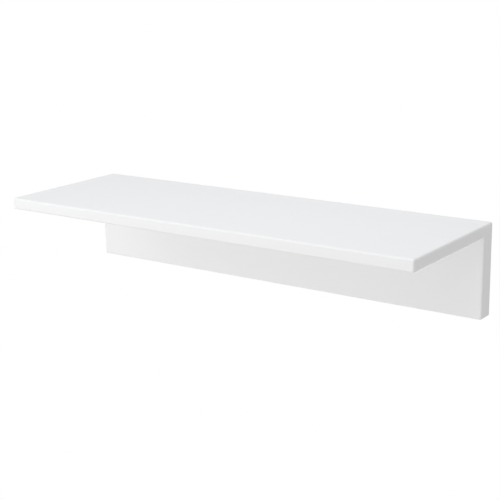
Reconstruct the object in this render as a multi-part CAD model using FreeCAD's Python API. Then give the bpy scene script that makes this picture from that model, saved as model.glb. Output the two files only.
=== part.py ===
import FreeCAD, Part
import math
import os

from FreeCAD import Vector

# A floating wall shelf: a shelf board over a back box, hung on a concealed steel rail.
# X runs along the shelf, Y towards the wall and Z up. The origin is on the wall, at the
# middle of the rail's row of screw slots. All lengths are millimetres, all angles degrees.

# Boards: the back box is a panel with a frame of battens behind it
shelf_length = 800.0
shelf_depth = 265.0
shelf_height = 155.0
shelf_thickness = 20.0
panel_thickness = 18.0
cavity_depth = 12.0
batten_width = 18.0
edge_radius = 3.0

# Folded steel of the rail and the two clips
sheet_thickness = 1.5
bend_radius = 1.0
wall_gap = 3.0
lip_gap = 0.8
seat_gap = 0.25
lip_height = 12.0
lip_clearance = 1.2

# Wall rail: its web below and above the row of slots, and the slots
rail_lower_height = 11.0
rail_upper_height = 10.0
rail_end_gap = 12.0
slot_width = 5.5
slot_length = 14.0
slot_end_distance = 70.0
inner_slot_share = 1.0 / 3.0

# Hanger clips
clip_length = 100.0
clip_web_height = 24.0
clip_top_gap = 6.0
clip_corner_radius = 4.0
clip_screw_height_share = 0.55
clip_screw_shares = (-0.3, 0.3)

# Cam fittings that draw the shelf board down onto the back box
cam_end_distance = 80.0
cam_shares = (-1.0, 0.0, 1.0)
cam_setback_distance = 34.0
cam_radius = 7.4
cam_head_gap = 1.0
cam_rim_height = 1.7
cam_floor_gap = 0.5
cam_chamber_radius = 5.2
cam_chamber_offset = 0.6
cam_slot_lead_angle = 50.0
cam_slot_sweep_angle = 230.0
cam_mouth_share = 0.75
cam_cross_length = 7.0
cam_cross_width = 1.4
cam_cross_depth = 2.6

# Cam bolts
bolt_radius = 2.9
bolt_thread_share = 0.6
bolt_neck_radius = 2.0
bolt_neck_gap = 0.3
bolt_head_radius = 3.2
bolt_head_height = 2.6
bolt_bore_radius = 4.0
bolt_seat_gap = 0.2

# Fluted dowels
dowel_radius = 4.0
dowel_length = 30.0
dowel_seat_share = 0.64
dowel_chamfer_width = 0.8
dowel_flute_count = 10
dowel_flute_depth = 0.35
dowel_outer_offset = 32.0
dowel_shares = (-0.5, 0.5)

# Wood screws that hold the clips
screw_radius = 1.75
screw_bite_share = 0.72
screw_head_radius = 3.8
screw_head_height = 2.4
recess_length = 3.8
recess_width = 0.9
recess_depth = 1.5

# Clearance of a fitted piece in its hole, spare depth of a blind hole, overrun of a cut,
# and nearness for finding edges
fit_gap = 0.1
hole_end_gap = 0.5
overrun_length = 1.0
nearness_gap = 0.001

# Planes across the depth: the wall is Y = 0
panel_rear = -cavity_depth
panel_front = panel_rear - panel_thickness
shelf_front = -shelf_depth
board_middle = panel_rear - panel_thickness / 2

# Lips of the clips and the rail, at the middle of the sheet
clip_lip = -(wall_gap + sheet_thickness / 2)
rail_lip = clip_lip - sheet_thickness - lip_gap

# Heights, counted from the rail's row of slots
rail_lip_top = rail_upper_height + lip_height
clip_step = rail_lip_top + seat_gap + sheet_thickness / 2
clip_lip_foot = rail_upper_height + sheet_thickness / 2 + lip_clearance
clip_top = clip_step + clip_web_height
clip_screw_level = clip_step + clip_web_height * clip_screw_height_share
shelf_under = clip_top + clip_top_gap + batten_width
shelf_top = shelf_under + shelf_thickness
box_bottom = shelf_top - shelf_height
cam_level = shelf_under - cam_setback_distance

# Stations along the length
end_x = shelf_length / 2
cavity_end_x = end_x - batten_width
rail_end_x = cavity_end_x - rail_end_gap
cam_reach = end_x - cam_end_distance
cam_stations = [cam_reach * share for share in cam_shares]
dowel_reach = cam_reach + dowel_outer_offset
dowel_inner_reaches = [cam_reach * share for share in dowel_shares]
dowel_stations = [-dowel_reach, *dowel_inner_reaches, dowel_reach]
slot_reach = rail_end_x - slot_end_distance
slot_inner_reach = slot_reach * inner_slot_share
slot_stations = [-slot_reach, -slot_inner_reach, slot_inner_reach, slot_reach]
clip_stations = dict(zip(("left", "right"), dowel_inner_reaches))

# Depths that follow from the boards
dowel_seat_depth = shelf_thickness * dowel_seat_share
bolt_thread_length = shelf_thickness * bolt_thread_share
bolt_depth = panel_thickness / 2
cam_slot_half = bolt_neck_radius + bolt_neck_gap
cam_top_thickness = bolt_depth - bolt_head_radius - cam_head_gap
cam_height = bolt_depth + cam_slot_half + cam_rim_height
screw_length = sheet_thickness + panel_thickness * screw_bite_share

up = Vector(0, 0, 1)
into_panel = Vector(0, -1, 0)


def block(low, high):
    """A rectangular block between two opposite corners."""
    size = high - low
    return Part.makeBox(size.x, size.y, size.z, low)


def edges_in(shape, **planes):
    """The edges whose ends lie in every named plane, such as x=end_x and z=shelf_top."""
    found = []
    for edge in shape.Edges:
        points = [vertex.Point for vertex in edge.Vertexes]
        gaps = [abs(getattr(p, axis) - place) for p in points for axis, place in planes.items()]
        if max(gaps) < nearness_gap:
            found.append(edge)
    return found


def hole(place, direction, radius, depth):
    """A round hole to cut, begun a little outside the surface that it enters."""
    start = place - direction * overrun_length
    return Part.makeCylinder(radius, depth + overrun_length, start, direction)


def revolved(profile):
    """A solid turned about Z from (radius, height) points that begin and end on the axis."""
    points = [Vector(radius, 0, height) for radius, height in profile]
    outline = Part.makePolygon(points + points[:1])
    return Part.Face(outline).revolve(Vector(), up, 360)


def facing_wall(shape, place):
    """A piece made upright along Z, laid down so that its top faces the wall at a place."""
    shape.rotate(Vector(), Vector(1, 0, 0), -90)
    shape.translate(place)
    return shape


def cross_recess(length, width, depth):
    """A cross-shaped driver recess to cut downwards from Z = 0."""
    bars = []
    for x, y in ((length, width), (width, length)):
        corner = Vector(x / 2, y / 2, overrun_length)
        bars.append(block(Vector(-x / 2, -y / 2, -depth), corner))
    return bars[0].fuse(bars[1])


def shelf_board():
    """The shelf board: rounded where it overhangs, square where it sits on the back box."""
    overhang = block(Vector(-end_x, shelf_front, shelf_under), Vector(end_x, panel_front, shelf_top))
    seat = block(Vector(-end_x, panel_front, shelf_under), Vector(end_x, 0, shelf_top))
    overhang_soft = edges_in(overhang, y=shelf_front)
    seat_soft = []
    for x in (-end_x, end_x):
        overhang_soft += edges_in(overhang, x=x, z=shelf_top)
        overhang_soft += edges_in(overhang, x=x, z=shelf_under)
        seat_soft += edges_in(seat, x=x, z=shelf_top)
    overhang = overhang.makeFillet(edge_radius, overhang_soft)
    seat = seat.makeFillet(edge_radius, seat_soft)
    board = overhang.fuse(seat).removeSplitter()
    holes = []
    for x in dowel_stations:
        place = Vector(x, board_middle, shelf_under)
        holes.append(hole(place, up, dowel_radius + fit_gap, dowel_seat_depth + hole_end_gap))
    for x in cam_stations:
        place = Vector(x, board_middle, shelf_under)
        holes.append(hole(place, up, bolt_radius + fit_gap, bolt_thread_length + hole_end_gap))
    return board.cut(holes)


def back_panel():
    """The front panel of the back box, bored for the dowels, bolts, cams and clip screws."""
    panel = block(Vector(-end_x, panel_front, box_bottom), Vector(end_x, panel_rear, shelf_under))
    soft = edges_in(panel, y=panel_front, z=box_bottom)
    for x in (-end_x, end_x):
        soft += edges_in(panel, x=x, y=panel_front)
        soft += edges_in(panel, x=x, z=box_bottom)
    panel = panel.makeFillet(edge_radius, soft)
    holes = []
    for x in dowel_stations:
        place = Vector(x, board_middle, shelf_under)
        depth = dowel_length - dowel_seat_depth + hole_end_gap
        holes.append(hole(place, -up, dowel_radius + fit_gap, depth))
    for x in cam_stations:
        edge_place = Vector(x, board_middle, shelf_under)
        holes.append(hole(edge_place, -up, bolt_bore_radius, cam_setback_distance))
        face_place = Vector(x, panel_rear, cam_level)
        holes.append(hole(face_place, into_panel, cam_radius + fit_gap, cam_height + cam_floor_gap))
    return panel.cut(holes + screw_holes())


def cross_batten(level):
    """A strip along the top or the bottom of the frame, between the end battens."""
    low = Vector(-cavity_end_x, panel_rear, level)
    return block(low, Vector(cavity_end_x, 0, level + batten_width))


def end_batten(side):
    """A strip at one end of the frame, with its lower outer edge rounded like the panel."""
    xs = sorted((side * cavity_end_x, side * end_x))
    strip = block(Vector(xs[0], panel_rear, box_bottom), Vector(xs[1], 0, shelf_under))
    return strip.makeFillet(edge_radius, edges_in(strip, x=side * end_x, z=box_bottom))


def dowel(station):
    """A fluted dowel with chamfered ends, partly in the shelf board and partly in the panel."""
    turn = 180 / dowel_flute_count
    corners = []
    for step in range(2 * dowel_flute_count):
        reach = dowel_radius - dowel_flute_depth * (step % 2)
        angle = math.radians(step * turn)
        corners.append(Vector(reach * math.cos(angle), reach * math.sin(angle), 0))
    section = Part.Face(Part.makePolygon(corners + corners[:1]))
    peg = section.extrude(up * dowel_length)
    ends = edges_in(peg, z=0) + edges_in(peg, z=dowel_length)
    peg = peg.makeChamfer(dowel_chamfer_width, ends)
    peg.translate(Vector(station, board_middle, shelf_under + dowel_seat_depth - dowel_length))
    return peg


def bolt_head_level():
    """The height of a bolt head's shoulder, where the jaws of the eccentric chamber hold it."""
    grip = math.sqrt(bolt_head_radius**2 - cam_slot_half**2)
    jaw = math.sqrt(cam_chamber_radius**2 - grip**2) - cam_chamber_offset
    return cam_level + jaw - bolt_seat_gap


def cam_bolt(station):
    """A bolt screwed up into the shelf board, its head hanging down inside the cam."""
    head_top = bolt_head_level()
    head_foot = head_top - bolt_head_height
    neck_top = cam_level + cam_radius + bolt_neck_gap
    thread_top = shelf_under + bolt_thread_length
    profile = [(0, head_foot), (bolt_head_radius, head_foot), (bolt_head_radius, head_top)]
    profile += [(bolt_neck_radius, head_top), (bolt_neck_radius, neck_top)]
    profile += [(bolt_radius, neck_top), (bolt_radius, thread_top), (0, thread_top)]
    bolt = revolved(profile)
    bolt.translate(Vector(station, board_middle, 0))
    return bolt


def cam_lock(station):
    """An eccentric cam in the panel's wall side, turned so that its jaws hold the bolt's head."""
    cam = Part.makeCylinder(cam_radius, cam_height, Vector(), -up)
    towards_bolt = Vector(0, -1, 0)
    bolt_axis = Vector(0, 0, -bolt_depth)
    reach = cam_radius + overrun_length
    chamber_top = Vector(0, cam_chamber_offset, -cam_top_thickness)
    chamber = Part.makeCylinder(cam_chamber_radius, cam_height, chamber_top, -up)
    slot_foot = bolt_axis - up * cam_slot_half
    slot = Part.makeCylinder(reach, 2 * cam_slot_half, slot_foot, up, cam_slot_sweep_angle)
    slot.rotate(Vector(), up, -90 - cam_slot_lead_angle)
    mouth = Part.makeCylinder(bolt_head_radius + bolt_neck_gap, reach, bolt_axis, towards_bolt)
    mouth.rotate(Vector(), up, cam_slot_sweep_angle * cam_mouth_share)
    cross = cross_recess(cam_cross_length, cam_cross_width, cam_cross_depth)
    cam = cam.cut([chamber, slot, mouth, cross])
    return facing_wall(cam, Vector(station, panel_rear, cam_level))


def side_path(path, offset):
    """A bent sheet's middle path of square bends, moved sideways by an offset."""
    runs = [(end[0] - start[0], end[1] - start[1]) for start, end in zip(path, path[1:])]
    shifts = [(-offset * z / math.hypot(y, z), offset * y / math.hypot(y, z)) for y, z in runs]
    moved = []
    for (y, z), before, after in zip(path, [(0, 0), *shifts], [*shifts, (0, 0)]):
        moved.append((y + before[0] + after[0], z + before[1] + after[1]))
    return moved


def folded_strip(path, left, right):
    """Sheet steel folded along a path of (y, z) points, with rounded bends."""
    half = sheet_thickness / 2
    sides = [side_path(path, half), side_path(path, -half)]
    points = [Vector(left, y, z) for y, z in sides[0] + sides[1][::-1]]
    outline = Part.Face(Part.makePolygon(points + points[:1]))
    strip = outline.extrude(Vector(right - left, 0, 0))
    rounds = []
    for corner, before, after in zip(range(len(path))[1:], path, path[2:]):
        (y, z) = path[corner]
        left_turn = (y - before[0]) * (after[1] - z) > (z - before[1]) * (after[0] - y)
        inner, outer = sides if left_turn else sides[::-1]
        rounds.append((inner[corner], bend_radius))
        rounds.append((outer[corner], bend_radius + sheet_thickness))
    for (y, z), radius in rounds:
        strip = strip.makeFillet(radius, edges_in(strip, y=y, z=z))
    return strip


def slot_cutter(station):
    """A level slot through the rail's web."""
    half = (slot_length - slot_width) / 2
    rear = overrun_length
    run = sheet_thickness + 2 * overrun_length
    low = Vector(station - half, rear - run, -slot_width / 2)
    cutter = block(low, Vector(station + half, rear, slot_width / 2))
    for x in (station - half, station + half):
        end = Part.makeCylinder(slot_width / 2, run, Vector(x, rear, 0), into_panel)
        cutter = cutter.fuse(end)
    return cutter.removeSplitter()


def wall_rail():
    """The rail on the wall: a web with screw slots, a step and an upturned lip."""
    web = -sheet_thickness / 2
    path = [(web, -rail_lower_height), (web, rail_upper_height)]
    path += [(rail_lip, rail_upper_height), (rail_lip, rail_lip_top)]
    rail = folded_strip(path, -rail_end_x, rail_end_x)
    return rail.cut([slot_cutter(station) for station in slot_stations])


def hanger_clip(station):
    """A clip on the back of the panel, its downturned lip behind the rail's lip."""
    web = panel_rear + sheet_thickness / 2
    path = [(web, clip_top), (web, clip_step), (clip_lip, clip_step), (clip_lip, clip_lip_foot)]
    left = station - clip_length / 2
    right = station + clip_length / 2
    clip = folded_strip(path, left, right)
    corners = edges_in(clip, x=left, z=clip_top) + edges_in(clip, x=right, z=clip_top)
    clip = clip.makeFillet(clip_corner_radius, corners)
    return clip.cut(screw_holes())


def screw_places():
    """Where the heads of the clips' screws sit, on the wall side of each clip's web."""
    web_face = panel_rear + sheet_thickness
    offsets = [clip_length * share for share in clip_screw_shares]
    stations = [station + offset for station in clip_stations.values() for offset in offsets]
    return [Vector(station, web_face, clip_screw_level) for station in stations]


def screw_holes():
    """The holes of the clips' screws, through each clip's web and into the panel."""
    radius = screw_radius + fit_gap
    depth = screw_length + hole_end_gap
    return [hole(place, into_panel, radius, depth) for place in screw_places()]


def clip_screws():
    """The pan-head wood screws of both clips."""
    profile = [(0, screw_head_height), (screw_head_radius, screw_head_height), (screw_head_radius, 0)]
    profile += [(screw_radius, 0), (screw_radius, -screw_length), (0, -screw_length)]
    recess = cross_recess(recess_length, recess_width, recess_depth)
    recess.translate(up * screw_head_height)
    screw = revolved(profile).cut(recess)
    return Part.makeCompound([facing_wall(screw.copy(), place) for place in screw_places()])


def pieces():
    """Every piece of the shelf by name."""
    named = {
        "shelf_board": shelf_board(),
        "back_panel": back_panel(),
        "top_batten": cross_batten(shelf_under - batten_width),
        "bottom_batten": cross_batten(box_bottom),
        "end_batten_left": end_batten(-1),
        "end_batten_right": end_batten(1),
        "wall_rail": wall_rail(),
    }
    for number, station in enumerate(dowel_stations, 1):
        named[f"dowel_{number}"] = dowel(station)
    for number, station in enumerate(cam_stations, 1):
        named[f"cam_bolt_{number}"] = cam_bolt(station)
        named[f"cam_lock_{number}"] = cam_lock(station)
    for side, station in clip_stations.items():
        named[f"hanger_clip_{side}"] = hanger_clip(station)
    named["clip_screws"] = clip_screws()
    return named


os.makedirs("parts", exist_ok=True)
for name, shape in pieces().items():
    shape.exportStep(f"parts/{name}.step")
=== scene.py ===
import math
from typing import NamedTuple

import bmesh
import bpy
from bpy.props import FloatProperty, FloatVectorProperty, IntProperty, PointerProperty
from bpy.types import Operator, Panel, PropertyGroup
from mathutils import Matrix, Vector


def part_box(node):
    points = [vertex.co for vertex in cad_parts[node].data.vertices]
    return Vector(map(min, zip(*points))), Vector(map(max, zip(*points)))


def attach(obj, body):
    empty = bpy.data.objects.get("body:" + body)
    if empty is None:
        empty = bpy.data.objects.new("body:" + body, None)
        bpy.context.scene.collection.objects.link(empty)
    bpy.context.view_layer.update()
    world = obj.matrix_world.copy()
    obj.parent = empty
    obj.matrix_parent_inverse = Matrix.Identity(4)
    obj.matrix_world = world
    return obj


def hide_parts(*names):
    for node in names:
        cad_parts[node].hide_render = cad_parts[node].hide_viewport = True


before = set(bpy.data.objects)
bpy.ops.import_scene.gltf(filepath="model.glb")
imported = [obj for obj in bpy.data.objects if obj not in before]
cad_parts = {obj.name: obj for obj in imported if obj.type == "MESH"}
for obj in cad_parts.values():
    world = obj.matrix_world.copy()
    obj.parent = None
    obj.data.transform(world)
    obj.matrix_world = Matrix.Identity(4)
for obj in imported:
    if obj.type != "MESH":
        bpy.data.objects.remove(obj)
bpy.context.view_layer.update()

bl_info = {
    "name": "Floating Wall Shelf",
    "version": (1, 0, 0),
    "blender": (4, 5, 0),
    "location": "3D View > Sidebar > Wall Shelf",
    "description": "Finishes a hung wall shelf: lacquered boards, concealed hanging gear, light and camera",
    "category": "Object",
}

BODY = "shelf"

SHELF_LOW, SHELF_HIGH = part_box("shelf_board")
PANEL_LOW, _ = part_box("back_panel")
CAMS = sorted(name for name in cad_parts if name.startswith("cam_lock"))
BOLTS = sorted(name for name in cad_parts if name.startswith("cam_bolt"))
DOWELS = sorted(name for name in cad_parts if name.startswith("dowel"))
CLIPS = sorted(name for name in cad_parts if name.startswith("hanger_clip"))
BATTENS = sorted(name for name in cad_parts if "batten" in name)


class Softbox(NamedTuple):
    """A square lamp: where it hangs from the shelf, in degrees and metres, its side, watts and colour."""

    bearing: float
    height: float
    distance: float
    side: float
    watts: float
    colour: tuple = (1.0, 1.0, 1.0)


SOFTBOXES = {
    "left_softbox": Softbox(bearing=-50.0, height=15.0, distance=2.5, side=2.4, watts=21.2),
    "low_left_softbox": Softbox(bearing=-50.0, height=-15.0, distance=2.5, side=2.4, watts=11.0),
    "low_right_softbox": Softbox(bearing=30.0, height=-15.0, distance=2.5, side=2.4, watts=11.3),
    "top_softbox": Softbox(
        bearing=30.0, height=75.0, distance=1.7, side=1.4, watts=12.8, colour=(0.94, 0.965, 1.0)
    ),
}

# The range that most of a noise pattern falls in
NOISE_RANGE = (0.3, 0.7)

# Lacquer: width of its faint clouds and of its duller patches in metres, and how far both wander
LACQUER_CLOUD = 0.14
LACQUER_CLOUD_TONE = 0.992
LACQUER_PATCH = 0.02
LACQUER_PATCH_SWING = 0.04

# Raw board: fibres lie flat, specks are finer than fibres, and overspray lands as a fine mist
FIBRE_FLATNESS = 0.5
FIBRE_RELIEF = 3.0
SPECK_SHARE = 0.3
SPECK_STRENGTH = 0.35
SPECK_RANGE = (0.28, 0.42)
SPECK_TONE = 0.55
MIST_SIZE = 0.0011
MIST_SWING = (0.2, 1.8)
MIST_EDGE = (0.4, 1.6)
RAW_ROUGHNESS = 0.88

# Zinc coat: raggedness and softness of the large and the small crystals, and the marks of the rolls
CRYSTAL_RAGGED = 0.9
LARGE_CRYSTAL_SOFT = 0.25
SMALL_CRYSTAL_SOFT = 0.4
SMALL_CRYSTAL_SHARE = 0.35
SMALL_CRYSTAL_STRENGTH = 0.25
ROLL_MARK = (0.05, 0.0006, 0.0006)
ROLL_MARK_STRENGTH = 0.3
ROLL_MARK_DEPTH = 0.00001
ZINC_TONES = (0.80, 1.14)
ZINC_ROUGHNESS = (0.28, 0.48)
ZINC_RANGE = (0.1, 0.9)

# Plated steel: clouds, scratches and the warmer tint of the clouds
PLATE_CLOUD = 0.003
PLATE_TINT = (1.05, 1.0, 0.9)
PLATE_SCRATCH = 0.0004
PLATE_SCRATCH_DEPTH = 0.000006
PLATE_ROUGHNESS = (0.22, 0.36)

# Cast zinc: clouds and the grain of the die
CAST_CLOUD = 0.004
CAST_GRAIN = 0.0003
CAST_GRAIN_DEPTH = 0.00002
CAST_TONES = (0.85, 1.1)
CAST_ROUGHNESS = (0.42, 0.58)

# Beech: grain and flecks, both longest along the dowel
BEECH_GRAIN = (0.0009, 0.0009, 0.03)
BEECH_GRAIN_TONE = 0.82
BEECH_GRAIN_DEPTH = 0.00004
BEECH_FLECK = (0.0004, 0.0004, 0.003)
BEECH_FLECK_STRENGTH = 0.5
BEECH_FLECK_RANGE = (0.3, 0.4)
BEECH_FLECK_TONE = 0.5
BEECH_ROUGHNESS = (0.5, 0.65)

# Turned and cast shapes
THREAD_STATIONS_PER_TURN = 8
ROUNDING_ANGLES = (0, 30, 60, 90)
CROWN_SHARES = (0.3, 0.5, 0.7, 0.85, 0.95, 1.0)
POINT_SHARE = 0.25
RECESS_TAPER = 0.4
ARROW_BARB_SHARE = 0.42
ARROW_STEM_SHARE = 0.16
ARROW_TOP_SHARE = 0.9
SHARP_ANGLE = math.radians(35)
WELD_DISTANCE = 1e-6

FLOOR_SIDES = 96
FLOOR_ROUGHNESS = 0.9


def length_value(name, description, default):
    """A length in metres that a user may change."""
    return FloatProperty(name=name, description=description, default=default, unit="LENGTH", precision=5)


def share_value(name, description, default):
    """A share from 0 to 1 that a user may change."""
    return FloatProperty(
        name=name, description=description, default=default, min=0.0, max=1.0, subtype="FACTOR"
    )


def colour_value(name, description, default):
    """A linear colour that a user may change."""
    return FloatVectorProperty(
        name=name, description=description, default=default, min=0.0, max=1.0, size=3, subtype="COLOR"
    )


def angle_value(name, description, degrees):
    """An angle that a user may change, given in degrees."""
    return FloatProperty(name=name, description=description, default=math.radians(degrees), subtype="ANGLE")


class BoardFinish(PropertyGroup):
    """The lacquer on the outside of the boards and the raw board behind it."""

    lacquer: colour_value("Lacquer", "Colour of the white lacquer", (0.864, 0.864, 0.866))
    lacquer_roughness: share_value("Lacquer Roughness", "Satin sheen of the lacquer", 0.5)
    peel_size: length_value("Peel Size", "Width of a dimple of the sprayed surface", 0.0016)
    peel_height: length_value("Peel Height", "Depth of the dimples of the sprayed surface", 0.000012)
    raw_light: colour_value("Raw Board Light", "Palest fibres of the raw board", (0.56, 0.42, 0.27))
    raw_dark: colour_value("Raw Board Dark", "Darkest fibres of the raw board", (0.36, 0.25, 0.145))
    fibre_size: length_value("Fibre Size", "Length of a fibre clump in the raw board", 0.0018)
    overspray: length_value("Overspray", "Reach of the lacquer round a corner onto raw board", 0.003)


class FittingFinish(PropertyGroup):
    """The metals and the wood of the concealed fittings."""

    sheet: colour_value("Galvanised Sheet", "Colour of the galvanised rail and clips", (0.60, 0.61, 0.62))
    spangle_size: length_value("Spangle Size", "Width of a crystal of the zinc coat", 0.006)
    plated: colour_value("Plated Steel", "Colour of the plated screws and bolts", (0.70, 0.69, 0.65))
    cast: colour_value("Cast Zinc", "Colour of the die-cast cams", (0.50, 0.505, 0.52))
    beech: colour_value("Beech", "Colour of the dowels", (0.68, 0.47, 0.28))


class FittingSizes(PropertyGroup):
    """The fine shapes of the turned and cast fittings."""

    segments: IntProperty(name="Segments", description="Sides of a turned piece", default=48, min=12)
    soft_edge: length_value("Soft Edge", "Rounding of a turned piece's edges", 0.0003)
    thread_depth: share_value("Thread Depth", "Depth of a thread as a share of its radius", 0.26)
    screw_radius: length_value("Screw Radius", "Radius of a clip screw's thread", 0.00175)
    screw_head: length_value("Screw Head", "Height of a clip screw's pan head", 0.0024)
    screw_crown: share_value("Screw Crown", "Width of the flat on a pan head as a share of the head", 0.45)
    screw_pitch: length_value("Screw Pitch", "Rise of a clip screw's thread in a turn", 0.0014)
    screw_tip: length_value("Screw Tip", "Length of a clip screw's point", 0.004)
    bolt_radius: length_value("Bolt Radius", "Radius of a cam bolt's thread and shank", 0.0029)
    bolt_head: length_value("Bolt Head", "Height of a cam bolt's head", 0.0026)
    bolt_neck: length_value("Bolt Neck", "Radius of a cam bolt's neck", 0.002)
    bolt_neck_gap: length_value("Bolt Neck Gap", "How far a cam bolt's neck reaches out of its cam", 0.0003)
    bolt_pitch: length_value("Bolt Pitch", "Rise of a cam bolt's thread in a turn", 0.0022)
    recess_length: length_value("Recess Length", "Length of a driver cross", 0.0044)
    recess_width: length_value("Recess Width", "Width of a driver cross", 0.0010)
    recess_depth: length_value("Recess Depth", "Depth of a driver cross", 0.0015)
    arrow_length: length_value("Arrow Length", "Length of the arrow cast on a cam", 0.003)
    arrow_height: length_value("Arrow Height", "How far the arrow stands out of a cam", 0.00025)
    arrow_setback: length_value("Arrow Setback", "Distance of the arrow from a cam's middle", 0.0055)
    mouth_bearing: angle_value("Mouth Bearing", "Direction of a cam's mouth from straight up", 172.5)


class StageSettings(PropertyGroup):
    """The camera, the floor and the level of the light."""

    azimuth: angle_value("Azimuth", "Bearing of the camera from straight in front", 35.532)
    elevation: angle_value("Elevation", "Height of the camera above the level", 14.739)
    roll: angle_value("Roll", "Tilt of the camera about its own axis", -1.023)
    distance: length_value("Distance", "Distance of the camera from its target", 2.1065)
    target: FloatVectorProperty(
        name="Target",
        description="Point on the wall plane that the camera looks at",
        default=(-0.0704, 0.0, SHELF_HIGH.z - 0.1104),
        size=3,
        subtype="TRANSLATION",
    )
    focal_length: FloatProperty(
        name="Focal Length", description="Focal length in millimetres", default=82.85, unit="CAMERA"
    )
    sensor_width: FloatProperty(
        name="Sensor Width",
        description="Width of the square film in millimetres",
        default=36.0,
        unit="CAMERA",
    )
    floor_drop: length_value("Floor Drop", "How far the floor lies below the shelf", 2.0)
    floor_radius: length_value("Floor Radius", "Radius of the round floor", 8.0)
    floor_colour: colour_value("Floor Colour", "Colour of the pale floor", (0.9, 0.9, 0.9))
    shadow_radius: length_value("Shadow Radius", "Reach of the shelf's shadow on the floor", 0.6)
    shadow_fade: length_value("Shadow Fade", "Distance over which the floor turns plain white", 0.8)
    shadow_share: share_value("Shadow Share", "How much of the shadow the camera sees", 0.2)
    ambient: FloatProperty(
        name="Ambient", description="Strength of the light from all round", default=0.525, min=0.0
    )
    light_level: FloatProperty(
        name="Light Level", description="Multiplies every lamp", default=1.0, min=0.0
    )


class Wiring:
    """Short ways to add and join the nodes of a material or a world."""

    def __init__(self, tree):
        self.tree = tree

    def add(self, kind, **settings):
        node = self.tree.nodes.new(kind)
        for setting, value in settings.items():
            setattr(node, setting, value)
        return node

    def feed(self, socket, value):
        if isinstance(value, bpy.types.NodeSocket):
            self.tree.links.new(value, socket)
        else:
            socket.default_value = value

    def maths(self, operation, *values):
        node = self.add("ShaderNodeMath", operation=operation)
        for socket, value in zip(node.inputs, values):
            self.feed(socket, value)
        return node.outputs["Value"]

    def spread(self, value, low, high, source=NOISE_RANGE, curve="LINEAR"):
        """A value mapped from its usual range onto another, clamped at both ends."""
        node = self.add("ShaderNodeMapRange", interpolation_type=curve)
        ends = {"Value": value, "From Min": source[0], "From Max": source[1], "To Min": low, "To Max": high}
        for name, end in ends.items():
            self.feed(node.inputs[name], end)
        return node.outputs["Result"]

    def seen_directly(self):
        """A factor that is 1 for camera, mirror and glass rays and 0 for the light that falls on things."""
        path = self.add("ShaderNodeLightPath")
        mirrored = self.maths("MAXIMUM", path.outputs["Is Glossy Ray"], path.outputs["Is Transmission Ray"])
        return self.maths("MAXIMUM", path.outputs["Is Camera Ray"], mirrored)


class Recipe(Wiring):
    """A new material whose patterns are counted in metres on the piece."""

    def __init__(self, name):
        self.material = bpy.data.materials.new(name)
        self.material.use_nodes = True
        super().__init__(self.material.node_tree)
        self.shader = self.tree.nodes["Principled BSDF"]
        self.place = self.add("ShaderNodeTexCoord").outputs["Object"]

    def stretched(self, sizes):
        """The place on the piece, counted in features of the given sizes along X, Y and Z."""
        node = self.add("ShaderNodeMapping")
        self.feed(node.inputs["Vector"], self.place)
        node.inputs["Scale"].default_value = [1.0 / size for size in sizes]
        return node.outputs["Vector"]

    def noise(self, sizes, detail=2.0, roughness=0.5):
        node = self.add("ShaderNodeTexNoise")
        self.feed(node.inputs["Vector"], self.stretched(sizes))
        node.inputs["Scale"].default_value = 1.0
        node.inputs["Detail"].default_value = detail
        node.inputs["Roughness"].default_value = roughness
        return node.outputs[0]

    def crystals(self, size, ragged, soft):
        """A tone for each crystal of a zinc coat, with ragged and softened outlines."""
        warp = self.add("ShaderNodeTexNoise")
        warp.inputs["Scale"].default_value = 2.0
        warp.inputs["Detail"].default_value = 3.0
        place = self.stretched(evenly(size))
        self.feed(warp.inputs["Vector"], place)
        shift = self.add("ShaderNodeVectorMath", operation="MULTIPLY_ADD")
        self.feed(shift.inputs[0], warp.outputs["Color"])
        shift.inputs[1].default_value = evenly(ragged)
        self.feed(shift.inputs[2], place)
        node = self.add("ShaderNodeTexVoronoi", feature="SMOOTH_F1")
        self.feed(node.inputs["Vector"], shift.outputs["Vector"])
        node.inputs["Scale"].default_value = 1.0
        node.inputs["Smoothness"].default_value = soft
        tone = self.add("ShaderNodeSeparateColor")
        self.feed(tone.inputs["Color"], node.outputs["Color"])
        return tone.outputs["Red"]

    def mixed(self, factor, first, second):
        """A colour between two colours, given as tuples or sockets."""
        node = self.add("ShaderNodeMix", data_type="RGBA")
        self.feed(node.inputs["Factor"], factor)
        for name, value in (("A", first), ("B", second)):
            socket = next(s for s in node.inputs if s.name == name and s.type == "RGBA")
            self.feed(socket, value if isinstance(value, bpy.types.NodeSocket) else (*value, 1.0))
        return next(s for s in node.outputs if s.type == "RGBA")

    def blended(self, factor, first, second):
        """A number between two numbers, given as values or sockets."""
        node = self.add("ShaderNodeMix", data_type="FLOAT")
        self.feed(node.inputs["Factor"], factor)
        for name, value in (("A", first), ("B", second)):
            socket = next(s for s in node.inputs if s.name == name and s.type == "VALUE")
            self.feed(socket, value)
        return next(s for s in node.outputs if s.type == "VALUE")

    def bump(self, height, depth):
        node = self.add("ShaderNodeBump")
        node.inputs["Distance"].default_value = depth
        self.feed(node.inputs["Height"], height)
        self.feed(self.shader.inputs["Normal"], node.outputs["Normal"])

    def finish(self, colour, roughness, metallic=0.0):
        self.feed(self.shader.inputs["Base Color"], colour)
        self.feed(self.shader.inputs["Roughness"], roughness)
        self.shader.inputs["Metallic"].default_value = metallic
        return self.material


def scaled(colour, factor):
    """A colour made lighter or darker by a factor."""
    return tuple(channel * factor for channel in colour)


def evenly(size):
    """A feature size that is the same along X, Y and Z."""
    return (size, size, size)


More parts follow.
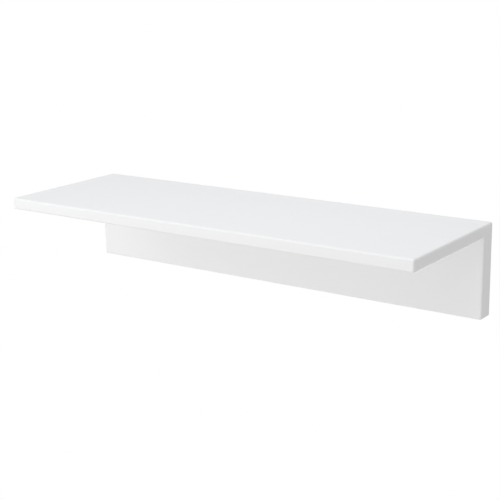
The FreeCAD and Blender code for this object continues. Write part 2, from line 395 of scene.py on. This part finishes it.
def lacquer_layers(recipe, settings):
    """Colour, roughness and dimple height of the sprayed white lacquer."""
    cloud = recipe.noise(evenly(LACQUER_CLOUD), detail=3.0)
    clouded = scaled(settings.lacquer, LACQUER_CLOUD_TONE)
    colour = recipe.mixed(recipe.spread(cloud, 0.0, 1.0), clouded, settings.lacquer)
    patch = recipe.noise(evenly(LACQUER_PATCH), detail=4.0)
    satin = settings.lacquer_roughness
    roughness = recipe.spread(patch, satin - LACQUER_PATCH_SWING, satin + LACQUER_PATCH_SWING)
    peel = recipe.noise(evenly(settings.peel_size), detail=1.0)
    return colour, roughness, peel


def white_lacquer(settings):
    """Satin white lacquer, sprayed, with a faint orange peel."""
    recipe = Recipe("white_lacquer")
    colour, roughness, peel = lacquer_layers(recipe, settings)
    recipe.bump(peel, settings.peel_height)
    return recipe.finish(colour, roughness)


def lacquered_board(settings):
    """White lacquer on the outer faces of the back box, with raw board behind and inside it."""
    recipe = Recipe("lacquered_board")
    colour, roughness, peel = lacquer_layers(recipe, settings)
    size = settings.fibre_size
    fibre = recipe.noise((size, size, size * FIBRE_FLATNESS), detail=6.0, roughness=0.7)
    speck = recipe.noise(evenly(size * SPECK_SHARE), detail=2.0)
    fibres = recipe.mixed(recipe.spread(fibre, 0.0, 1.0), settings.raw_dark, settings.raw_light)
    specks = recipe.spread(speck, SPECK_STRENGTH, 0.0, SPECK_RANGE)
    raw = recipe.mixed(specks, fibres, scaled(settings.raw_dark, SPECK_TONE))
    axes = recipe.add("ShaderNodeSeparateXYZ")
    recipe.feed(axes.inputs["Vector"], recipe.place)
    from_end = recipe.maths("SUBTRACT", SHELF_HIGH.x, recipe.maths("ABSOLUTE", axes.outputs["X"]))
    from_front = recipe.maths("SUBTRACT", axes.outputs["Y"], PANEL_LOW.y)
    from_bottom = recipe.maths("SUBTRACT", axes.outputs["Z"], PANEL_LOW.z)
    depth = recipe.maths("MINIMUM", recipe.maths("MINIMUM", from_end, from_front), from_bottom)
    mist = recipe.noise(evenly(MIST_SIZE), detail=5.0, roughness=0.7)
    least, most = (share * settings.overspray for share in MIST_SWING)
    reach = recipe.spread(mist, least, most)
    edge = [recipe.maths("MULTIPLY", reach, share) for share in MIST_EDGE]
    bare = recipe.spread(depth, 0.0, 1.0, edge, "SMOOTHSTEP")
    relief = recipe.maths("MULTIPLY", fibre, FIBRE_RELIEF)
    recipe.bump(recipe.blended(bare, peel, relief), settings.peel_height)
    return recipe.finish(recipe.mixed(bare, colour, raw), recipe.blended(bare, roughness, RAW_ROUGHNESS))


def galvanised_sheet(settings):
    """Hot-dip galvanised sheet, with a faint spangle and rolling marks along it."""
    recipe = Recipe("galvanised_sheet")
    size = settings.spangle_size
    large = recipe.crystals(size, CRYSTAL_RAGGED, LARGE_CRYSTAL_SOFT)
    small = recipe.crystals(size * SMALL_CRYSTAL_SHARE, CRYSTAL_RAGGED, SMALL_CRYSTAL_SOFT)
    rolling = recipe.noise(ROLL_MARK, detail=3.0)
    spangle = recipe.blended(SMALL_CRYSTAL_STRENGTH, large, small)
    shade = recipe.blended(ROLL_MARK_STRENGTH, spangle, rolling)
    dark, light = (scaled(settings.sheet, tone) for tone in ZINC_TONES)
    recipe.bump(rolling, ROLL_MARK_DEPTH)
    roughness = recipe.spread(shade, *ZINC_ROUGHNESS, ZINC_RANGE)
    return recipe.finish(recipe.mixed(shade, dark, light), roughness, metallic=1.0)


def plated_steel(settings):
    """Bright zinc-plated steel, slightly clouded."""
    recipe = Recipe("plated_steel")
    cloud = recipe.noise(evenly(PLATE_CLOUD), detail=4.0)
    warm = tuple(channel * tint for channel, tint in zip(settings.plated, PLATE_TINT))
    colour = recipe.mixed(recipe.spread(cloud, 0.0, 1.0), warm, settings.plated)
    scratch = recipe.noise(evenly(PLATE_SCRATCH), detail=3.0)
    recipe.bump(scratch, PLATE_SCRATCH_DEPTH)
    return recipe.finish(colour, recipe.spread(scratch, *PLATE_ROUGHNESS), metallic=1.0)


def cast_zinc(settings):
    """Dull die-cast zinc with a fine cast grain."""
    recipe = Recipe("cast_zinc")
    cloud = recipe.noise(evenly(CAST_CLOUD), detail=5.0)
    grain = recipe.noise(evenly(CAST_GRAIN), detail=2.0)
    dark, light = (scaled(settings.cast, tone) for tone in CAST_TONES)
    colour = recipe.mixed(recipe.spread(cloud, 0.0, 1.0), dark, light)
    recipe.bump(grain, CAST_GRAIN_DEPTH)
    return recipe.finish(colour, recipe.spread(cloud, *CAST_ROUGHNESS), metallic=1.0)


def beech_wood(settings):
    """Plain beech, with its short dark flecks along the dowel."""
    recipe = Recipe("beech_wood")
    grain = recipe.noise(BEECH_GRAIN, detail=4.0)
    fleck = recipe.noise(BEECH_FLECK, detail=1.0)
    dark = scaled(settings.beech, BEECH_GRAIN_TONE)
    colour = recipe.mixed(recipe.spread(grain, 0.0, 1.0), dark, settings.beech)
    flecks = recipe.spread(fleck, BEECH_FLECK_STRENGTH, 0.0, BEECH_FLECK_RANGE)
    flecked = recipe.mixed(flecks, colour, scaled(settings.beech, BEECH_FLECK_TONE))
    recipe.bump(grain, BEECH_GRAIN_DEPTH)
    return recipe.finish(flecked, recipe.spread(grain, *BEECH_ROUGHNESS))


def dress(nodes, material):
    """Puts a finish on CAD nodes as they stand."""
    for node in nodes:
        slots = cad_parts[node].material_slots
        if not slots:
            raise RuntimeError(f"{node} has no material slot")
        for slot in slots:
            slot.material = material


def skinned(shape, rings):
    """A bmesh closed over its rings of corners, from the lowest ring up."""
    for lower, upper in zip(rings, rings[1:]):
        for step in range(len(lower)):
            after = (step + 1) % len(lower)
            shape.faces.new((lower[step], lower[after], upper[after], upper[step]))
    shape.faces.new(rings[0][::-1])
    shape.faces.new(rings[-1])
    return shape


def turned(stations, pitch, segments):
    """A turned piece about Z from (height, radius, thread depth) stations, lowest first."""
    shape = bmesh.new()
    rings = []
    for height, radius, depth in stations:
        ring = []
        for step in range(segments):
            share = step / segments
            phase = (height / pitch - share) % 1.0
            reach = radius - depth * abs(2.0 * phase - 1.0)
            angle = share * math.tau
            ring.append(shape.verts.new((reach * math.cos(angle), reach * math.sin(angle), height)))
        rings.append(ring)
    return skinned(shape, rings)


def threaded_run(start, end, radius, depth, pitch):
    """Stations of a thread that fades in and out over one turn."""
    count = max(2, math.ceil((end - start) / pitch * THREAD_STATIONS_PER_TURN))
    stations = []
    for step in range(count + 1):
        height = start + (end - start) * step / count
        fade = min(1.0, (height - start) / pitch, (end - height) / pitch)
        stations.append((height, radius, depth * max(fade, 0.0)))
    return stations


def upper_edge(height, radius, soft):
    """Stations of the rounded upper edge of a turned shoulder."""
    stations = []
    for angle in ROUNDING_ANGLES:
        turn = math.radians(angle)
        level = height - soft + soft * math.sin(turn)
        stations.append((level, radius - soft + soft * math.cos(turn), 0.0))
    return stations


def lower_edge(height, radius, soft):
    """Stations of the rounded lower edge of a turned shoulder."""
    mirrored = upper_edge(height, radius, soft)[::-1]
    return [(2.0 * height - level, reach, depth) for level, reach, depth in mirrored]


def drawn_out(outline, levels):
    """A solid from a flat outline, repeated at (height, scale) levels from the lowest up."""
    shape = bmesh.new()
    rings = []
    for height, scale in levels:
        rings.append([shape.verts.new((x * scale, y * scale, height)) for x, y in outline])
    return skinned(shape, rings)


def driver_cross(sizes):
    """The tapered cross that a driver fits, opening upwards at height zero."""
    long, wide = sizes.recess_length / 2, sizes.recess_width / 2
    quarter = [(long, -wide), (long, wide), (wide, wide)]
    outline = []
    for _ in range(4):
        outline += quarter
        quarter = [(-y, x) for x, y in quarter]
    depth = sizes.recess_depth
    return drawn_out(outline, [(-depth, 1.0 - RECESS_TAPER), (depth, 1.0 + RECESS_TAPER)])


def cut_away(shape, tool):
    """A bmesh with another one taken away from it."""
    pieces = []
    for name, solid in (("blank", shape), ("tool", tool)):
        mesh = bpy.data.meshes.new(name)
        bmesh.ops.recalc_face_normals(solid, faces=solid.faces)
        solid.to_mesh(mesh)
        solid.free()
        piece = bpy.data.objects.new(name, mesh)
        bpy.context.scene.collection.objects.link(piece)
        pieces.append(piece)
    blank, cutter = pieces
    cut = blank.modifiers.new("cut", "BOOLEAN")
    cut.operation = "DIFFERENCE"
    cut.solver = "EXACT"
    cut.object = cutter
    result = bmesh.new()
    result.from_object(blank, bpy.context.evaluated_depsgraph_get())
    for piece in pieces:
        bpy.data.meshes.remove(piece.data)
    return result


def new_piece(name, shape, material, replaced=()):
    """A scene object from a bmesh, which rides on the shelf in place of CAD nodes."""
    mesh = bpy.data.meshes.new(name)
    bmesh.ops.recalc_face_normals(shape, faces=shape.faces)
    shape.to_mesh(mesh)
    shape.free()
    mesh.polygons.foreach_set("use_smooth", [True] * len(mesh.polygons))
    mesh.set_sharp_from_angle(angle=SHARP_ANGLE)
    mesh.materials.append(material)
    piece = bpy.data.objects.new(name, mesh)
    bpy.context.scene.collection.objects.link(piece)
    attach(piece, BODY)
    for node in replaced:
        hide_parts(node)
    return piece


def islands(node):
    """The boxes of a CAD node's separate solids, from left to right."""
    solid = bmesh.new()
    solid.from_mesh(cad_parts[node].data)
    bmesh.ops.remove_doubles(solid, verts=solid.verts, dist=WELD_DISTANCE)
    boxes = []
    waiting = set(solid.verts)
    while waiting:
        group = {waiting.pop()}
        rim = set(group)
        while rim:
            rim = {edge.other_vert(vert) for vert in rim for edge in vert.link_edges} - group
            group |= rim
        waiting -= group
        low = Vector([min(vert.co[axis] for vert in group) for axis in range(3)])
        high = Vector([max(vert.co[axis] for vert in group) for axis in range(3)])
        boxes.append((low, high))
    solid.free()
    return sorted(boxes, key=lambda box: box[0].x)


def outward(azimuth, elevation):
    """The direction from the shelf towards a bearing and a height, with bearing 0 straight in front."""
    level = math.cos(elevation)
    return Vector((math.sin(azimuth) * level, -math.cos(azimuth) * level, math.sin(elevation)))


class WALLSHELF_OT_lacquer_boards(Operator):
    """Lacquer the shelf board and the outside of the back box"""

    bl_idname = "wall_shelf.lacquer_boards"
    bl_label = "Lacquer Boards"

    def execute(self, context):
        settings = context.scene.board_finish
        dress(["shelf_board"], white_lacquer(settings))
        dress(["back_panel", *BATTENS], lacquered_board(settings))
        return {"FINISHED"}


class WALLSHELF_OT_galvanise_hangers(Operator):
    """Galvanise the wall rail and the two hanger clips"""

    bl_idname = "wall_shelf.galvanise_hangers"
    bl_label = "Galvanise Rail and Clips"

    def execute(self, context):
        dress(["wall_rail", *CLIPS], galvanised_sheet(context.scene.fitting_finish))
        return {"FINISHED"}


class WALLSHELF_OT_turn_clip_screws(Operator):
    """Turn the pan-head screws of the hanger clips, with thread, point and driver cross"""

    bl_idname = "wall_shelf.turn_clip_screws"
    bl_label = "Turn Clip Screws"

    def execute(self, context):
        sizes = context.scene.fitting_sizes
        material = plated_steel(context.scene.fitting_finish)
        screws = islands("clip_screws")
        one = bpy.data.meshes.new("one_screw")
        shape = self.pan_head_screw(sizes, *screws[0])
        shape.to_mesh(one)
        shape.free()
        joined = bmesh.new()
        for low, high in screws:
            middle = (low + high) / 2
            one.transform(Matrix.Translation((middle.x, high.y, middle.z)))
            joined.from_mesh(one)
            one.transform(Matrix.Translation((-middle.x, -high.y, -middle.z)))
        bpy.data.meshes.remove(one)
        new_piece("clip_screw_set", joined, material, ["clip_screws"])
        return {"FINISHED"}

    def pan_head_screw(self, sizes, low, high):
        """One screw that points away from the wall, with the top of its head at the origin."""
        head_radius = (high.x - low.x) / 2
        shoulder = -sizes.screw_head
        point = low.y - high.y
        depth = sizes.screw_radius * sizes.thread_depth
        stations = [(point, sizes.soft_edge * POINT_SHARE, 0.0)]
        thread = point + sizes.screw_tip, shoulder - sizes.soft_edge
        stations += threaded_run(*thread, sizes.screw_radius, depth, sizes.screw_pitch)
        stations.append((shoulder, sizes.screw_radius, 0.0))
        stations += lower_edge(shoulder, head_radius, sizes.soft_edge)
        for share in CROWN_SHARES:
            crown = math.sqrt(1.0 - share * share)
            width = sizes.screw_crown + (1.0 - sizes.screw_crown) * crown
            stations.append((shoulder * (1.0 - share), head_radius * width, 0.0))
        screw = cut_away(turned(stations, sizes.screw_pitch, sizes.segments), driver_cross(sizes))
        bmesh.ops.rotate(screw, verts=screw.verts, matrix=Matrix.Rotation(math.radians(-90), 3, "X"))
        return screw


class WALLSHELF_OT_cast_cam_locks(Operator):
    """Finish the cam locks in cast zinc, each with a raised arrow that points to its mouth"""

    bl_idname = "wall_shelf.cast_cam_locks"
    bl_label = "Cast Cam Locks"

    def execute(self, context):
        sizes = context.scene.fitting_sizes
        material = cast_zinc(context.scene.fitting_finish)
        dress(CAMS, material)
        to_mouth = Vector((math.sin(sizes.mouth_bearing), 0.0, math.cos(sizes.mouth_bearing)))
        to_wall = Vector((0.0, 1.0, 0.0))
        turn = Matrix((to_mouth, to_wall.cross(to_mouth), to_wall)).transposed().to_4x4()
        for cam in CAMS:
            low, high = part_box(cam)
            middle = (low + high) / 2
            place = Vector((middle.x, high.y, middle.z)) + to_mouth * sizes.arrow_setback
            arrow = self.arrow(sizes)
            arrow.transform(Matrix.Translation(place) @ turn)
            new_piece(f"{cam}_arrow", arrow, material)
        return {"FINISHED"}

    def arrow(self, sizes):
        """A flat arrow along X, sunk a little into the face that carries it."""
        long = sizes.arrow_length
        barb, stem = long * ARROW_BARB_SHARE, long * ARROW_STEM_SHARE
        outline = [(long / 2, 0.0), (0.0, barb), (0.0, stem), (-long / 2, stem)]
        outline += [(-long / 2, -stem), (0.0, -stem), (0.0, -barb)]
        tall = sizes.arrow_height
        return drawn_out(outline, [(-tall, 1.0), (0.0, 1.0), (tall, ARROW_TOP_SHARE)])


class WALLSHELF_OT_turn_cam_bolts(Operator):
    """Turn the cam bolts, with driver cross, head, neck, shank and thread"""

    bl_idname = "wall_shelf.turn_cam_bolts"
    bl_label = "Turn Cam Bolts"

    def execute(self, context):
        sizes = context.scene.fitting_sizes
        material = plated_steel(context.scene.fitting_finish)
        for cam, bolt in zip(CAMS, BOLTS, strict=True):
            low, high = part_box(bolt)
            middle = (low + high) / 2
            neck_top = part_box(cam)[1].z + sizes.bolt_neck_gap
            shape = self.bolt(sizes, low, high, neck_top)
            shape.transform(Matrix.Translation((middle.x, middle.y, 0.0)))
            new_piece(f"{bolt}_turned", shape, material, [bolt])
        return {"FINISHED"}

    def bolt(self, sizes, low, high, neck_top):
        """One bolt about Z, at its own height, with its head at the foot."""
        soft = sizes.soft_edge
        head_radius = (high.y - low.y) / 2
        head_top = low.z + sizes.bolt_head
        depth = sizes.bolt_radius * sizes.thread_depth
        stations = lower_edge(low.z, head_radius, soft)
        stations += upper_edge(head_top, head_radius, soft)
        stations.append((head_top, sizes.bolt_neck, 0.0))
        stations.append((neck_top, sizes.bolt_neck, 0.0))
        stations += lower_edge(neck_top, sizes.bolt_radius, soft)
        stations += threaded_run(SHELF_LOW.z, high.z - soft, sizes.bolt_radius, depth, sizes.bolt_pitch)
        stations.append((high.z, sizes.bolt_radius - soft, 0.0))
        cross = driver_cross(sizes)
        cross.transform(Matrix.Translation((0.0, 0.0, low.z)) @ Matrix.Rotation(math.pi, 4, "X"))
        return cut_away(turned(stations, sizes.bolt_pitch, sizes.segments), cross)


class WALLSHELF_OT_finish_dowels(Operator):
    """Finish the fluted dowels in beech"""

    bl_idname = "wall_shelf.finish_dowels"
    bl_label = "Finish Dowels"

    def execute(self, context):
        dress(DOWELS, beech_wood(context.scene.fitting_finish))
        return {"FINISHED"}


class WALLSHELF_OT_set_stage(Operator):
    """Set the floor, the white surroundings, the lamps and the camera"""

    bl_idname = "wall_shelf.set_stage"
    bl_label = "Set Stage"

    def execute(self, context):
        settings = context.scene.stage_settings
        context.scene.view_settings.view_transform = "Standard"
        self.lay_floor(context, settings)
        self.light_surroundings(context, settings)
        self.hang_lamps(context, settings)
        self.place_camera(context, settings)
        return {"FINISHED"}

    def lay_floor(self, context, settings):
        """A round floor far below, with a faint shadow under the shelf and plain white further out."""
        shape = bmesh.new()
        bmesh.ops.create_circle(shape, cap_ends=True, radius=settings.floor_radius, segments=FLOOR_SIDES)
        mesh = bpy.data.meshes.new("studio_floor")
        shape.to_mesh(mesh)
        shape.free()
        floor = bpy.data.objects.new("studio_floor", mesh)
        floor.location.z = PANEL_LOW.z - settings.floor_drop
        context.scene.collection.objects.link(floor)
        paint = Recipe("pale_floor")
        paint.finish((*settings.floor_colour, 1.0), FLOOR_ROUGHNESS)
        away = paint.add("ShaderNodeVectorMath", operation="LENGTH")
        paint.feed(away.inputs[0], paint.place)
        edge = settings.shadow_radius, settings.shadow_radius + settings.shadow_fade
        plain = paint.spread(away.outputs["Value"], 1.0 - settings.shadow_share, 1.0, edge, "SMOOTHSTEP")
        mix = paint.add("ShaderNodeMixShader")
        paint.feed(mix.inputs["Fac"], paint.maths("MULTIPLY", paint.seen_directly(), plain))
        paint.feed(mix.inputs[1], paint.shader.outputs["BSDF"])
        paint.feed(mix.inputs[2], paint.add("ShaderNodeEmission").outputs["Emission"])
        paint.feed(paint.tree.nodes["Material Output"].inputs["Surface"], mix.outputs["Shader"])
        mesh.materials.append(paint.material)

    def light_surroundings(self, context, settings):
        """A world that looks plain white and lights the shelf gently from all round."""
        world = bpy.data.worlds.new("white_surroundings")
        context.scene.world = world
        world.use_nodes = True
        sky = Wiring(world.node_tree)
        background = sky.tree.nodes["Background"]
        background.inputs["Color"].default_value = (1.0, 1.0, 1.0, 1.0)
        strength = sky.spread(sky.seen_directly(), settings.ambient, 1.0, (0.0, 1.0))
        sky.feed(background.inputs["Strength"], strength)

    def hang_lamps(self, context, settings):
        """Square soft lamps round the shelf, all aimed at its middle."""
        aim = (SHELF_LOW + SHELF_HIGH) / 2
        for name, softbox in SOFTBOXES.items():
            lamp = bpy.data.lights.new(name, "AREA")
            lamp.shape = "SQUARE"
            lamp.size = softbox.side
            lamp.energy = softbox.watts * settings.light_level
            lamp.color = softbox.colour
            holder = bpy.data.objects.new(name, lamp)
            away = outward(math.radians(softbox.bearing), math.radians(softbox.height))
            holder.location = aim + away * softbox.distance
            holder.visible_camera = False
            holder.rotation_mode = "QUATERNION"
            holder.rotation_quaternion = away.to_track_quat("Z", "Y")
            context.scene.collection.objects.link(holder)

    def place_camera(self, context, settings):
        """A camera in front and to the right, a little above the shelf."""
        camera = bpy.data.cameras.new("front_right_camera")
        camera.sensor_fit = "HORIZONTAL"
        camera.sensor_width = settings.sensor_width
        camera.lens = settings.focal_length
        holder = bpy.data.objects.new("front_right_camera", camera)
        back = outward(settings.azimuth, settings.elevation)
        right = Vector((math.cos(settings.azimuth), math.sin(settings.azimuth), 0.0))
        upright = Matrix((right, back.cross(right), back)).transposed().to_4x4()
        eye = Vector(settings.target) + back * settings.distance
        holder.matrix_world = Matrix.Translation(eye) @ upright @ Matrix.Rotation(settings.roll, 4, "Z")
        context.scene.collection.objects.link(holder)
        context.scene.camera = holder


STEPS = (
    WALLSHELF_OT_lacquer_boards,
    WALLSHELF_OT_galvanise_hangers,
    WALLSHELF_OT_turn_clip_screws,
    WALLSHELF_OT_cast_cam_locks,
    WALLSHELF_OT_turn_cam_bolts,
    WALLSHELF_OT_finish_dowels,
    WALLSHELF_OT_set_stage,
)


class WALLSHELF_PT_steps(Panel):
    """Lists the steps that finish the shelf, in their order, and the settings that they use"""

    bl_idname = "WALLSHELF_PT_steps"
    bl_label = "Wall Shelf"
    bl_space_type = "VIEW_3D"
    bl_region_type = "UI"
    bl_category = "Wall Shelf"

    def draw(self, context):
        column = self.layout.column(align=True)
        for step in STEPS:
            column.operator(step.bl_idname)
        for holder, group in SETTINGS.items():
            box = self.layout.box()
            box.label(text=holder.replace("_", " ").title())
            settings = getattr(context.scene, holder)
            for setting in group.__annotations__:
                box.prop(settings, setting)


SETTINGS = {
    "board_finish": BoardFinish,
    "fitting_finish": FittingFinish,
    "fitting_sizes": FittingSizes,
    "stage_settings": StageSettings,
}


def register():
    for cls in (*SETTINGS.values(), *STEPS, WALLSHELF_PT_steps):
        bpy.utils.register_class(cls)
    for name, group in SETTINGS.items():
        setattr(bpy.types.Scene, name, PointerProperty(type=group))


def unregister():
    for name in SETTINGS:
        delattr(bpy.types.Scene, name)
    for cls in (WALLSHELF_PT_steps, *reversed(STEPS), *reversed(SETTINGS.values())):
        bpy.utils.unregister_class(cls)


def main():
    register()
    bpy.ops.wall_shelf.lacquer_boards()
    bpy.ops.wall_shelf.galvanise_hangers()
    bpy.ops.wall_shelf.turn_clip_screws()
    bpy.ops.wall_shelf.cast_cam_locks()
    bpy.ops.wall_shelf.turn_cam_bolts()
    bpy.ops.wall_shelf.finish_dowels()
    bpy.ops.wall_shelf.set_stage()


if __name__ == "__main__":
    main()
